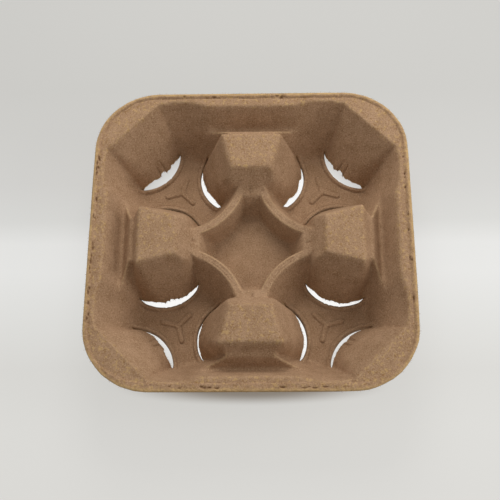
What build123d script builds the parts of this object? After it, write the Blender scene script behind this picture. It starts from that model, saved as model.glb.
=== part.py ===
from build123d import *
from math import sqrt
import os

# Moulded pulp carrier for four cups, lying on its base, with +Z up.
# The origin is the middle of the base. All sizes are in millimetres.

# Overall sizes
side = 215.0
height = 45.0
corner_radius = 43.3
wall = 2.0
overrun = 2.0

# Rough outer lip, a low band that stands on the edge of the flange
lip_height = 1.0
lip_width = 4.0
lip_bevel = 0.5
rim_round = 2.5

# Cup pockets: round wells with sloping walls, one in each quarter
pocket_count = 4
cup_pitch = 100.8
mouth_radius = 51.0
foot_radius = 29.0
foot_round = 7.0

# Fingers: convex springs around each pocket, cut free of its floor
finger_count = 3
finger_axis_distance = 42.0
finger_foot_radius = 27.5
finger_crown_radius = 90.0
corner_reach = 44.3
post_reach = 36.6
valley_radius = 4.0

# Slits under the fingers, and the curb along the floor side of each
slit_height = 5.5
slit_reach = 8.5
slit_half_angle = 43.0
curb_width = 2.8
curb_height = 0.9
curb_bevel = 0.6
curb_half_angle = 50.0

# Three-armed rib in the middle of each pocket floor
star_reach = 12.0
star_width = 3.4
star_height = 0.8
star_bevel = 0.5

# Flute down the middle of each finger
flute_length = 13.0
flute_top_radius = 1.5
flute_top_depth = 0.4
flute_foot_radius = 2.9
flute_foot_depth = 0.9

# Posts between the pockets: flat crowns with a groove behind and a slope in front
crown_outer = 75.4
crown_inner = 50.0

# Groove behind each post: a ledge part way down the post, a narrow floor and the outer wall
ledge_inner = 79.6
ledge_inner_depth = 7.0
ledge_outer = 83.6
ledge_outer_depth = 11.0
groove_floor_inner = 87.1
groove_floor_outer = 90.8
groove_outer = 97.6
groove_depth = 17.5
groove_half_length = 41.0
groove_round = 1.5

# Basin in the middle, with a ridge around it that is lower than the rim
ridge_depth = 14.5
ridge_outer = 38.5
ridge_round = 1.3
shoulder_height = 3.0
shoulder_flare = 1.0
basin_depth = 33.0
basin_top_reach = 34.6
basin_top_radius = 46.8
basin_floor_reach = 27.0
basin_floor_radius = 50.8
basin_corner_round = 2.5
basin_floor_round = 2.5

# Turns about the Z axis, in degrees
full_turn = 360
half_turn = full_turn / 2
corner_turn = full_turn / 8

# Levels that follow from the sizes above
flange_top = height - lip_height
floor_top = wall
ridge_top = flange_top - ridge_depth
basin_floor = flange_top - basin_depth
cup_centre = cup_pitch / 2
pocket_depth = flange_top - floor_top
pocket_slope = (mouth_radius - foot_radius) / pocket_depth
quarter_turns = [index * full_turn / pocket_count for index in range(pocket_count)]
finger_turns = [corner_turn + index * full_turn / finger_count for index in range(finger_count)]
finger_reaches = [corner_reach, post_reach, post_reach]
foot_reach = finger_axis_distance - finger_foot_radius


def spread(grow, slope):
    """Sideways growth of a wall of this slope when its skin moves out by grow."""
    return grow * sqrt(1 + slope**2)


def blend(start, end, share):
    """Value a share of the way from start to end, or past them."""
    return start + (end - start) * share


def pocket_radius(z, grow):
    """Radius of a pocket's round wall at a height, for a skin moved out by grow."""
    return foot_radius + pocket_slope * (z - floor_top) + spread(grow, pocket_slope)


def rounded_mouth(block):
    """Block with the open air over the flange added, and the edge of its mouth rounded."""
    with BuildPart() as opened:
        add(block)
        with BuildSketch(Plane.XY.offset(flange_top)):
            Rectangle(side, side)
        extrude(amount=overrun)
        land = opened.faces().filter_by_position(Axis.Z, flange_top, flange_top)[0]
        fillet(land.inner_wires()[0].edges(), rim_round)
    return opened.part


def well_block(grow, top):
    """Round well of one pocket, about its own axis."""
    low = floor_top - grow
    with BuildPart() as block:
        with BuildSketch(Plane.XZ) as section:
            with BuildLine():
                Polyline(
                    (0, low),
                    (pocket_radius(low, grow), low),
                    (pocket_radius(top, grow), top),
                    (0, top),
                    close=True,
                )
            make_face()
            corner = section.vertices().group_by(Axis.Y)[0].sort_by(Axis.X)[-1]
            fillet(corner, foot_round + grow)
        revolve(axis=Axis.Z)
    return block.part


def finger_block(reach, grow, low, high):
    """Convex finger on the +X side of a pocket, about the pocket's axis."""
    slope = (reach - foot_reach) / pocket_depth
    with BuildPart() as block:
        for z in (low, high):
            share = (z - floor_top) / pocket_depth
            axis = blend(finger_axis_distance, reach + finger_crown_radius, share)
            radius = blend(finger_foot_radius, finger_crown_radius, share)
            with BuildSketch(Plane.XY.offset(z)):
                with Locations((axis, 0)):
                    Circle(radius - spread(grow, slope))
        loft(ruled=True)
    return block.part


def pocket_block(grow, top):
    """Open space of one pocket about its own axis, with its three fingers left out."""
    with BuildPart() as block:
        add(well_block(grow, top))
        for turn, reach in zip(finger_turns, finger_reaches):
            finger = finger_block(reach, grow, floor_top - grow - overrun, top + overrun)
            add(finger, rotation=(0, 0, turn), mode=Mode.SUBTRACT)
        valleys = block.edges().filter_by(lambda edge: edge.bounding_box().size.Z > overrun)
        fillet(valleys, valley_radius + grow)
    return block.part


def groove_block(grow, top):
    """Open groove between the +X post and the outer wall, with a ledge on the post's side."""
    inner_slope = (ledge_inner - crown_outer) / ledge_inner_depth
    outer_slope = (groove_outer - groove_floor_outer) / groove_depth
    rise = top - grow - flange_top
    with BuildPart() as block:
        with BuildSketch(Plane.XZ) as section:
            with BuildLine():
                Polyline(
                    (crown_outer - inner_slope * rise, flange_top + rise),
                    (ledge_inner, flange_top - ledge_inner_depth),
                    (ledge_outer, flange_top - ledge_outer_depth),
                    (groove_floor_inner, flange_top - groove_depth),
                    (groove_floor_outer, flange_top - groove_depth),
                    (groove_outer + outer_slope * rise, flange_top + rise),
                    close=True,
                )
            make_face()
            fillet(section.vertices().group_by(Axis.Y)[0], groove_round)
            if grow:
                offset(amount=grow, kind=Kind.INTERSECTION)
        extrude(amount=groove_half_length, both=True)
    return block.part


def saddle_block(grow, top):
    """Open space over the basin and its ridge, between the four posts."""
    slope = (crown_inner - ridge_outer) / ridge_depth
    with BuildPart() as block:
        for z in (ridge_top - grow, top):
            half = crown_inner + slope * (z - flange_top) + spread(grow, slope)
            with BuildSketch(Plane.XY.offset(z)):
                Rectangle(2 * half, 2 * half)
        loft(ruled=True)
    return block.part


def basin_block(grow):
    """Open middle basin, whose sides curve around the pockets."""
    with BuildPart() as block:
        for z in (basin_floor - grow, ridge_top + overrun):
            share = (z - basin_floor) / (ridge_top - basin_floor)
            reach = blend(basin_floor_reach, basin_top_reach, share) + grow
            radius = blend(basin_floor_radius, basin_top_radius, share) - grow
            with BuildSketch(Plane.XY.offset(z)) as section:
                Rectangle(2 * reach, 2 * reach)
                with GridLocations(cup_pitch, cup_pitch, 2, 2):
                    Circle(radius, mode=Mode.SUBTRACT)
                fillet(section.vertices(), basin_corner_round)
        loft(ruled=True)
        fillet(block.edges().group_by(Axis.Z)[0], basin_floor_round)
    return block.part


def middle_block(grow, top):
    """Open space of the saddle and the basin together, with a rounded basin mouth."""
    with BuildPart() as block:
        add(saddle_block(grow, top))
        add(basin_block(grow))
        crest = block.faces().filter_by_position(Axis.Z, ridge_top - grow, ridge_top - grow)[0]
        fillet(crest.inner_wires()[0].edges(), ridge_round)
    return block.part


def shoulder_block():
    """Flare that eases the pocket's wall into the top of the ridge, about the pocket's axis."""
    low = ridge_top - shoulder_height
    edge = ridge_outer - cup_centre
    with BuildPart() as block:
        with BuildSketch(Plane.XZ):
            with BuildLine():
                Polyline(
                    (0, low),
                    (pocket_radius(low, 0), low),
                    (pocket_radius(ridge_top, 0) + shoulder_flare, ridge_top),
                    (0, ridge_top),
                    close=True,
                )
            make_face()
        revolve(axis=Axis.Z)
        with BuildSketch(Plane.XY.offset(low)):
            with Locations((edge, edge)):
                Rectangle(mouth_radius, mouth_radius, align=(Align.MAX, Align.MAX))
        extrude(amount=shoulder_height, mode=Mode.INTERSECT)
    return block.part


def outer_space():
    """Open space over the carrier's underside skin, a wall further out, up to the flange."""
    pocket = Pos(cup_centre, cup_centre) * pocket_block(wall, flange_top)
    with BuildPart() as space:
        add(middle_block(wall, flange_top))
        for turn in quarter_turns:
            add(pocket, rotation=(0, 0, turn))
            add(groove_block(wall, flange_top), rotation=(0, 0, turn))
    return space.part


def inner_space():
    """Open space over the carrier's upper skin, with the edge of every mouth rounded."""
    top = flange_top + overrun
    pocket = Pos(cup_centre, cup_centre) * rounded_mouth(pocket_block(0, top))
    shoulder = Pos(cup_centre, cup_centre) * shoulder_block()
    groove = rounded_mouth(groove_block(0, top))
    with BuildPart() as space:
        add(rounded_mouth(middle_block(0, top)))
        for turn in quarter_turns:
            add(pocket, rotation=(0, 0, turn))
            add(shoulder, rotation=(0, 0, turn))
            add(groove, rotation=(0, 0, turn))
    return space.part


def arc_band(radius, width, half_angle, low, height):
    """Arc-shaped block about the axis of the +X finger, on the side of its pocket."""
    with BuildLine() as path:
        CenterArc((finger_axis_distance, 0), radius, half_turn - half_angle, 2 * half_angle)
    with BuildPart() as block:
        with BuildSketch(Plane.XY.offset(low)):
            SlotArc(path.edges()[0], width)
        extrude(amount=height)
    return block.part


def slit_block():
    """Cut that parts the foot of the +X finger from the pocket's floor."""
    radius = finger_foot_radius - slit_reach / 2
    return arc_band(radius, slit_reach, slit_half_angle, -overrun, overrun + floor_top + slit_height)


def curb_block():
    """Raised band along the floor side of the +X finger's slit, sunk into the floor."""
    radius = finger_foot_radius + curb_width / 2
    low = floor_top - curb_height
    band = arc_band(radius, curb_width, curb_half_angle, low, 2 * curb_height)
    with BuildPart() as block:
        add(band)
        chamfer(block.edges().group_by(Axis.Z)[-1], curb_bevel)
    return block.part


def star_block():
    """Three-armed rib between the fingers, sunk into the pocket's floor."""
    with BuildPart() as block:
        with BuildSketch(Plane.XY.offset(floor_top - star_height)):
            for turn in finger_turns:
                with Locations(Rot(0, 0, turn + half_turn)):
                    SlotCenterPoint((star_reach / 2, 0), (star_reach, 0), star_width)
        extrude(amount=2 * star_height)
        chamfer(block.edges().group_by(Axis.Z)[-1], star_bevel)
    return block.part


def flute_block(reach):
    """Tapered flute that runs up the middle of the +X finger from its cut edge."""
    slope = (reach - foot_reach) / pocket_depth
    run = Vector(slope, 0, 1).normalized()
    out = Vector(-1, 0, slope).normalized()
    foot = Vector(foot_reach + slope * slit_height, 0, floor_top + slit_height)
    foot_centre = foot + out * (flute_foot_radius - flute_foot_depth)
    top_centre = foot + run * flute_length + out * (flute_top_radius - flute_top_depth)
    with BuildPart() as block:
        with BuildSketch(Plane(foot_centre, z_dir=run)):
            Circle(flute_foot_radius)
        with BuildSketch(Plane(top_centre, z_dir=run)):
            Circle(flute_top_radius)
        loft(ruled=True)
    return block.part


def lip_band():
    """Low band along the outer edge of the flange."""
    with BuildPart() as block:
        with BuildSketch(Plane.XY.offset(flange_top - lip_height)):
            RectangleRounded(side, side, corner_radius)
            inner = side - 2 * lip_width
            RectangleRounded(inner, inner, corner_radius - lip_width, mode=Mode.SUBTRACT)
        extrude(amount=2 * lip_height)
        chamfer(block.edges().group_by(Axis.Z)[-1], lip_bevel)
    return block.part


def floor_ribs():
    """Star and three curbs on the floor of one pocket, about its own axis."""
    with BuildPart() as ribs:
        add(star_block())
        for turn in finger_turns:
            add(curb_block(), rotation=(0, 0, turn))
        add(well_block(wall / 2, flange_top), mode=Mode.INTERSECT)
    return ribs.part


def finger_cuts():
    """Slits and flutes of one pocket's three fingers, about its own axis."""
    with BuildPart() as cuts:
        for turn, reach in zip(finger_turns, finger_reaches):
            add(slit_block(), rotation=(0, 0, turn))
            add(flute_block(reach), rotation=(0, 0, turn))
    return cuts.part


with BuildPart() as carrier:
    with BuildSketch(Plane.XY.offset(flange_top - wall)):
        RectangleRounded(side, side, corner_radius)
    extrude(amount=wall)
    add(outer_space())
    add(inner_space(), mode=Mode.SUBTRACT)
    add(lip_band())
    ribs = Pos(cup_centre, cup_centre) * floor_ribs()
    cuts = Pos(cup_centre, cup_centre) * finger_cuts()
    for turn in quarter_turns:
        add(ribs, rotation=(0, 0, turn))
        add(cuts, rotation=(0, 0, turn), mode=Mode.SUBTRACT)

os.makedirs("parts", exist_ok=True)
carrier.part.label = "carrier"
export_step(carrier.part, "parts/carrier.step")
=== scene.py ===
"""A moulded pulp carrier for four cups, on a pale floor under soft studio light.

The carrier is one moulding with two skins. Both follow the same rule of wells, fingers,
grooves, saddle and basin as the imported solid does, with the soft edges, the torn slits and
the rough outer lip that a paper mould leaves. Sizes are in millimetres until a mesh is made.
"""
import logging
import math
from dataclasses import dataclass, field
from enum import Enum

import bpy
import numpy as np
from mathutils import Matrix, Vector
from mathutils.geometry import delaunay_2d_cdt


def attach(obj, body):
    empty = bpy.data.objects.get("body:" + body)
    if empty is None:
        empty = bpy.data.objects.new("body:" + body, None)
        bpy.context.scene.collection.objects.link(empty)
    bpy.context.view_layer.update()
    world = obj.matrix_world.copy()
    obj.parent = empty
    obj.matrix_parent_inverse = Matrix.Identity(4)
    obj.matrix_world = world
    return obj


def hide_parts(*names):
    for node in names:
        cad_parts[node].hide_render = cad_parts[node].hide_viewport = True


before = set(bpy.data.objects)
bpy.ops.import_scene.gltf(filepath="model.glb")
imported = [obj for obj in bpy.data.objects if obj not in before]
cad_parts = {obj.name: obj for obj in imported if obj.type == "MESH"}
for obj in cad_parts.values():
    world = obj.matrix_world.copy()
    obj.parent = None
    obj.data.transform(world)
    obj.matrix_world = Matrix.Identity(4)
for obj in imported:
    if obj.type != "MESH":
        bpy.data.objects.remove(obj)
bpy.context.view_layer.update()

logging.basicConfig(level=logging.INFO, format="%(name)s: %(message)s")
log = logging.getLogger("carrier")

Array = np.ndarray
Pair = tuple[float, float]
MM = 0.001
QUARTERS = 4
# Points each way in a noise table, and the row of it that an edge follows, as a share of its pitch
NOISE_POINTS = 64
EDGE_ROW = 0.37
# Halvings in the search for a finger's surface
HALVINGS = 24
# The triangulation fills the outline but not the holes in it, and joins points nearer than this
INSIDE_WITH_HOLES = 2
SAME_POINT = 1e-7


def smooth_low(a: Array, b: Array, soft: Array | float) -> Array:
    """Lower of two heights, eased where they meet.

    Args:
        a: First heights.
        b: Second heights.
        soft: Height difference within which the two blend.

    Returns:
        The blended lower heights.
    """
    near = np.maximum(soft - np.abs(a - b), 0.0) / soft
    return np.minimum(a, b) - near * near * soft / 4


def smooth_high(a: Array, b: Array, soft: Array | float) -> Array:
    """Higher of two heights, eased where they meet."""
    return -smooth_low(-a, -b, soft)


def ease(start: float, end: float, value: Array) -> Array:
    """Smooth step from 0 at start to 1 at end."""
    share = np.clip((value - start) / (end - start), 0.0, 1.0)
    return share * share * (3 - 2 * share)


def bead(value: Array, place: float, width: float) -> Array:
    """Smooth bump of height 1 where a value is at its place, gone two widths away."""
    return np.exp(-((value - place) / width)**2)


def turned(x: Array, y: Array, degrees: float) -> tuple[Array, Array]:
    """Points turned about the origin, anticlockwise."""
    c, s = math.cos(math.radians(degrees)), math.sin(math.radians(degrees))
    return x * c - y * s, x * s + y * c


def patch_noise(x: Array, y: Array, pitch: float, seed: int) -> Array:
    """Smooth seeded noise over the plan, from -1 to 1.

    Args:
        x: Plan positions along X.
        y: Plan positions along Y.
        pitch: Distance between the noise's own points.
        seed: Fixed seed.

    Returns:
        One value for each position.
    """
    table = np.random.default_rng(seed).uniform(-1, 1, (NOISE_POINTS, NOISE_POINTS))
    u, v = x / pitch, y / pitch
    i, j = np.floor(u).astype(int), np.floor(v).astype(int)
    p, q = ease(0, 1, u - i), ease(0, 1, v - j)
    rows = []
    for row in (j, j + 1):
        left, right = (table[column % NOISE_POINTS, row % NOISE_POINTS] for column in (i, i + 1))
        rows.append(left * (1 - p) + right * p)
    return rows[0] * (1 - q) + rows[1] * q


@dataclass(frozen=True)
class Waver:
    """One layer of seeded unevenness.

    Attributes:
        rise: How far it moves a form either way, in millimetres or as a share.
        pitch: Distance between its own points, in millimetres.
        seed: Fixed seed.
    """

    rise: float
    pitch: float
    seed: int

    def over(self, x: Array, y: Array) -> Array:
        """Its values over the plan."""
        return self.rise * patch_noise(x, y, self.pitch, self.seed)

    def along(self, run: Array, seed: int = 0) -> Array:
        """Its values at distances along an edge, whose own seed is added to the layer's."""
        row = np.full_like(run, EDGE_ROW * self.pitch)
        return self.rise * patch_noise(run, row, self.pitch, self.seed + seed)


class FingerPlace(Enum):
    """Where a finger stands: in the carrier's corner, or on a post."""

    CORNER = "corner"
    POST = "post"


@dataclass(frozen=True)
class Finger:
    """One springy finger of a pocket.

    Attributes:
        turn: Its direction from the pocket's axis, in degrees.
        place: Where it stands.
        reach: Distance of its crown from the pocket's axis.
        chord: Half the width of its straight crown.
        slit: Half the angle that its slit spans about the finger's foot axis, in degrees.
    """

    turn: float
    place: FingerPlace
    reach: float
    chord: float
    slit: float


@dataclass(frozen=True)
class Flutes:
    """Fine flutes that fan out up a finger from its torn edge.

    Attributes:
        lines: Their places across the finger at their tops.
        top: Height above the pocket's floor where they end.
        depth: Their depth.
    """

    lines: tuple[float, ...]
    top: float
    depth: float


FLUTES = {
    FingerPlace.CORNER: Flutes((-2.1, 2.1), 15.0, 2.2),
    FingerPlace.POST: Flutes((-4.2, -1.6, 1.3, 3.6), 11.0, 1.4),
}


@dataclass(frozen=True)
class TornEdge:
    """The torn lower edge of one finger.

    Attributes:
        heights: Its height over the pocket's floor at even steps along the slit.
        seed: Fixed seed for its frayed line.
    """

    heights: tuple[float, ...]
    seed: int


# One torn edge for each pocket and finger: they tear differently in every carrier.
TORN_EDGES = {
    (0, 0): TornEdge((2.6, 4.6, 4.6, 4.3, 7.0, 4.4, 5.3, 4.3, 2.4), 11),
    (0, 1): TornEdge((4.0, 4.4, 4.5, 4.3, 6.7, 4.6, 5.4, 7.0, 5.0), 12),
    (0, 2): TornEdge((4.8, 5.2, 4.6, 4.8, 6.2, 5.0, 4.6, 5.4, 4.8), 13),
    (1, 0): TornEdge((3.0, 4.9, 6.4, 5.0, 7.4, 5.8, 6.4, 4.6, 2.2), 14),
    (1, 1): TornEdge((4.2, 5.0, 5.4, 4.8, 6.2, 4.8, 5.2, 5.8, 5.2), 15),
    (1, 2): TornEdge((5.0, 6.6, 6.4, 5.4, 5.4, 3.8, 3.4, 3.6, 3.0), 16),
    (2, 0): TornEdge((3.2, 3.6, 3.8, 3.7, 5.2, 4.6, 7.2, 7.6, 5.6), 17),
    (2, 1): TornEdge((2.6, 2.9, 3.3, 3.2, 3.8, 3.1, 2.9, 2.6, 2.4), 18),
    (2, 2): TornEdge((3.8, 5.2, 4.0, 5.3, 6.6, 5.1, 5.0, 5.4, 3.0), 19),
    (3, 0): TornEdge((4.2, 4.6, 4.8, 4.4, 5.6, 4.6, 4.8, 4.6, 4.0), 20),
    (3, 1): TornEdge((3.4, 4.3, 3.5, 3.4, 4.7, 3.6, 4.2, 5.2, 3.4), 21),
    (3, 2): TornEdge((2.6, 4.4, 6.0, 6.6, 6.3, 6.0, 6.2, 6.3, 5.0), 22),
}


@dataclass(frozen=True)
class CarrierRule:
    """The rule that both skins of the moulding follow, with its sizes in millimetres.

    A skin's height is the floor of the open space over it: wells with convex fingers left
    in them, grooves behind the posts, a saddle between the posts and a basin in its middle.
    The lower skin follows the same rule, grown by the wall's thickness.
    """

    # Outline and wall, which is thinner at the torn edges
    side: float = 215.0
    corner_radius: float = 43.3
    flange_top: float = 44.0
    wall: float = 2.0
    torn_thinning: float = 0.75
    # Pockets and the fingers about them
    cup_centre: float = 50.4
    mouth_radius: float = 51.0
    foot_radius: float = 29.0
    finger_axis: float = 42.0
    finger_foot_radius: float = 27.5
    fingers: tuple[Finger, ...] = (
        Finger(45.0, FingerPlace.CORNER, 45.0, 23.0, 48.0),
        Finger(165.0, FingerPlace.POST, 35.2, 16.0, 51.0),
        Finger(285.0, FingerPlace.POST, 35.2, 16.0, 51.0),
    )
    # Posts, and the groove behind each: distances from the middle and depths below the flange
    crown_inner: float = 50.0
    groove_profile: tuple[Pair, ...] = (
        (75.4, 0.0), (79.2, 7.4), (82.0, 8.8), (87.0, 17.5), (89.2, 17.5), (97.6, 0.0))
    groove_half_length: float = 41.0
    groove_end_slope: float = 8.0
    # Ridge round the basin, and where a pocket's wall is steeper beside it, in degrees
    ridge_top: float = 29.5
    ridge_outer: float = 38.5
    ridge_radius: float = 41.2
    ridge_span: Pair = (30.0, 48.0)
    # Basin, with round walls about the pockets' axes and a flat one towards each post
    basin_floor: float = 11.0
    basin_top_reach: float = 34.6
    basin_top_radius: float = 46.8
    basin_floor_reach: float = 27.0
    basin_floor_radius: float = 50.8
    # Height differences within which two forms blend
    soft_rim: float = 2.6
    soft_corner: float = 0.9
    soft_crown: float = 3.4
    soft_foot: float = 6.0
    soft_valley: float = 2.4
    soft_slit: float = 0.4
    soft_ledge: float = 0.5
    soft_groove: float = 2.2
    soft_groove_foot: float = 0.7
    soft_fold: float = 4.0
    soft_crest: float = 1.2
    soft_mouth: float = 4.2
    soft_basin: float = 3.4
    # Zones over which the blends change: crowns, corners, a slit's ends in degrees, and its top
    crown_near: Pair = (45.0, 52.0)
    crown_far: Pair = (72.0, 80.0)
    crown_side: Pair = (24.0, 34.0)
    corner_zone: Pair = (138.0, 146.0)
    slit_ends: Pair = (-3.0, 7.0)
    slit_top: Pair = (8.0, 16.0)
    # Zones of thinner wall by a torn edge: its start, its top, and its ends in degrees
    torn_start: Pair = (1.0, 3.0)
    torn_top: Pair = (7.0, 15.0)
    torn_ends: Pair = (-6.0, 2.0)
    bend_step: float = 0.8

    @property
    def floor(self) -> float:
        """Height of the pockets' floors."""
        return self.wall

    @property
    def depth(self) -> float:
        """Depth of a pocket below the flange."""
        return self.flange_top - self.floor

    def well_slope(self, u: Array, v: Array) -> Array:
        """Sideways run of a pocket's wall for each millimetre of height, less by the ridge.

        Args:
            u: Positions along X from the pocket's axis.
            v: Positions along Y from it.

        Returns:
            One slope for each position.
        """
        wide = (self.mouth_radius - self.foot_radius) / self.depth
        narrow = (self.ridge_radius - self.foot_radius) / (self.ridge_top - self.floor)
        away = np.abs(np.degrees(np.arctan2(v - u, -u - v)))
        return wide + (narrow - wide) * (1 - ease(*self.ridge_span, away))

    def fold(self, x: Array, y: Array) -> tuple[Array, Array, Array]:
        """Points turned into the first quarter and taken from its pocket's axis.

        Args:
            x: Plan positions along X.
            y: Plan positions along Y.

        Returns:
            Positions from the pocket's axis, and the number of each point's own quarter.
        """
        quarter = np.floor(np.degrees(np.arctan2(y, x)) / 90).astype(int) % QUARTERS
        u, v = np.empty_like(x), np.empty_like(y)
        for index in range(QUARTERS):
            own = quarter == index
            u[own], v[own] = turned(x[own], y[own], -90 * index)
        return u - self.cup_centre, v - self.cup_centre, quarter

    def finger_height(self, u: Array, v: Array, finger: Finger, grow: Array | float = 0.0) -> Array:
        """Height of a finger's surface over points taken from its pocket's axis.

        The finger blends a straight crown into a round foot: a flat face that narrows to the
        foot's middle, and beside it an oblique cone from each end of the crown.

        Args:
            u: Positions towards the finger.
            v: Positions across it.
            finger: The finger.
            grow: How far the skin lies below the upper one.

        Returns:
            Heights, below the floor in front of the finger's foot.
        """
        foot_reach = self.finger_axis - self.finger_foot_radius
        push = grow * math.sqrt(1 + ((finger.reach - foot_reach) / self.depth)**2)
        radius, reach = self.finger_foot_radius - push, finger.reach + push
        face = (u - self.finger_axis + radius) / (reach - self.finger_axis + radius)
        side = np.abs(v)
        out, beside = u - reach, side - finger.chord
        back, across = self.finger_axis - reach, -finger.chord
        a = back * back + across * across - radius * radius
        b = out * back + beside * across
        cone = 1 - (b - np.sqrt(b * b - a * (out * out + beside * beside))) / a
        return self.floor + self.depth * np.where(side <= finger.chord * face, face, cone)

    def slit_angle(self, u: Array, v: Array) -> Array:
        """Degrees along the slit from a finger's middle, seen from the finger's foot axis."""
        return np.degrees(np.arctan2(v, self.finger_axis - u))

    def pocket(self, u: Array, v: Array, grow: Array | float) -> Array:
        """Height of a pocket's skin over points taken from its axis.

        Args:
            u: Positions along X from the axis.
            v: Positions along Y from it.
            grow: How far the skin lies below the upper one.

        Returns:
            Heights of the well with its fingers.
        """
        slope = self.well_slope(u, v)
        radius = np.hypot(u, v)
        spread = grow * np.sqrt(1 + slope * slope)
        cone = self.floor + (radius - self.foot_radius - spread) / slope
        height = smooth_high(self.floor - grow + 0 * radius, cone, self.soft_foot)
        for finger in self.fingers:
            fu, fv = turned(u, v, -finger.turn)
            surface = self.finger_height(fu, fv, finger, grow)
            start, end = (finger.slit + edge for edge in self.slit_ends)
            cut = 1 - ease(start, end, np.abs(self.slit_angle(fu, fv)))
            cut = cut * (1 - ease(*self.slit_top, surface))
            soft = self.soft_valley * (1 - cut) + self.soft_slit * cut
            height = smooth_high(height, surface, soft)
        return height

    def groove(self, x: Array, y: Array, grow: Array | float) -> Array:
        """Height of the groove behind the +X post, with a ledge on the post's side.

        Args:
            x: Positions towards the post.
            y: Positions along the groove.
            grow: How far the skin lies below the upper one.

        Returns:
            Heights of the groove's own surface.
        """
        planes = []
        for (near, shallow), (far, deep) in zip(self.groove_profile, self.groove_profile[1:]):
            slope = (shallow - deep) / (far - near)
            level = self.flange_top - shallow + slope * (x - near)
            planes.append(level - grow * math.sqrt(1 + slope**2))
        face, ledge, foot, floor, wall = planes
        step = smooth_high(face, smooth_low(ledge, foot, self.soft_ledge), self.soft_ledge)
        height = smooth_high(smooth_high(step, floor, self.soft_groove_foot), wall, self.soft_groove)
        end = floor + (np.abs(y) - self.groove_half_length) * self.groove_end_slope
        return np.maximum(height, end)

    def middle(self, x: Array, y: Array, grow: Array | float) -> Array:
        """Height of the saddle between the posts and of the basin in its middle.

        Args:
            x: Plan positions along X.
            y: Plan positions along Y.
            grow: How far the skin lies below the upper one.

        Returns:
            Heights, rising past the flange outside the posts' crowns.
        """
        rise = self.flange_top - self.ridge_top
        slope = (self.crown_inner - self.ridge_outer) / rise
        far = np.maximum(np.abs(x), np.abs(y))
        saddle = self.flange_top + (far - self.crown_inner - grow * math.sqrt(1 + slope**2)) / slope
        saddle = smooth_high(saddle, self.ridge_top - grow + 0 * far, self.soft_fold)
        tall = self.ridge_top - self.basin_floor
        u, v, _ = self.fold(x, y)
        round_run = (self.basin_floor_radius - self.basin_top_radius) / tall
        round_wall = self.basin_floor + (self.basin_floor_radius - grow - np.hypot(u, v)) / round_run
        flat_run = (self.basin_top_reach - self.basin_floor_reach) / tall
        flat_wall = self.basin_floor + (far - grow - self.basin_floor_reach) / flat_run
        wall = smooth_high(round_wall, flat_wall, self.soft_basin)
        basin = smooth_high(wall, self.basin_floor - grow + 0 * far, self.soft_basin)
        return smooth_low(saddle, basin, self.soft_mouth)

    def skin(self, x: Array, y: Array, grow: Array | float = 0.0) -> Array:
        """Height of a skin of the moulding, before its small relief.

        Args:
            x: Plan positions along X.
            y: Plan positions along Y.
            grow: How far the skin lies below the upper one.

        Returns:
            One height for each position.
        """
        height = self.flange_top - grow + 0 * x
        height = smooth_low(height, self.middle(x, y, grow), self.soft_crest)
        far, near = np.maximum(np.abs(x), np.abs(y)), np.minimum(np.abs(x), np.abs(y))
        crown = ease(*self.crown_near, far) * (1 - ease(*self.crown_far, far))
        crown = crown * (1 - ease(*self.crown_side, near))
        rim = self.soft_rim + (self.soft_crown - self.soft_rim) * crown
        rim = rim + (self.soft_corner - self.soft_rim) * ease(*self.corner_zone, far + near)
        for index in range(QUARTERS):
            u, v = turned(x, y, -90 * index)
            height = smooth_low(height, self.groove(u, v, grow), self.soft_rim)
            pocket = self.pocket(u - self.cup_centre, v - self.cup_centre, grow)
            height = smooth_low(height, pocket, rim)
        return height

    def bend(self, x: Array, y: Array) -> Array:
        """How sharply the upper skin bends, positive in valleys and negative on edges.

        Args:
            x: Plan positions along X.
            y: Plan positions along Y.

        Returns:
            Change of slope over twice the step, less on steep walls.
        """
        step, level = self.bend_step, self.skin(x, y)
        east, west = self.skin(x + step, y) - level, level - self.skin(x - step, y)
        north, south = self.skin(x, y + step) - level, level - self.skin(x, y - step)
        steep = 1 + ((east + west)**2 + (north + south)**2) / (4 * step * step)
        return (east - west + north - south) / step / steep

    def thickness(self, x: Array, y: Array) -> Array:
        """Wall thickness under the plan, thinner at the torn edges.

        Args:
            x: Plan positions along X.
            y: Plan positions along Y.

        Returns:
            One thickness for each position.
        """
        u, v, _ = self.fold(x, y)
        thin = np.zeros_like(x)
        for finger in self.fingers:
            fu, fv = turned(u, v, -finger.turn)
            rise = self.finger_height(fu, fv, finger) - self.floor
            near = ease(*self.torn_start, rise) * (1 - ease(*self.torn_top, rise))
            start, end = (finger.slit + edge for edge in self.torn_ends)
            near = near * (1 - ease(start, end, np.abs(self.slit_angle(fu, fv))))
            thin = np.maximum(thin, near * (fu > 0))
        return self.wall - self.torn_thinning * thin

    def margin(self, x: Array, y: Array) -> Array:
        """Distance in from the rounded square outline, negative outside it.

        Args:
            x: Plan positions along X.
            y: Plan positions along Y.

        Returns:
            One distance for each position.
        """
        straight = self.side / 2 - self.corner_radius
        a, b = np.abs(x) - straight, np.abs(y) - straight
        outside = np.hypot(np.maximum(a, 0), np.maximum(b, 0)) + np.minimum(np.maximum(a, b), 0)
        return self.corner_radius - outside


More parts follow.
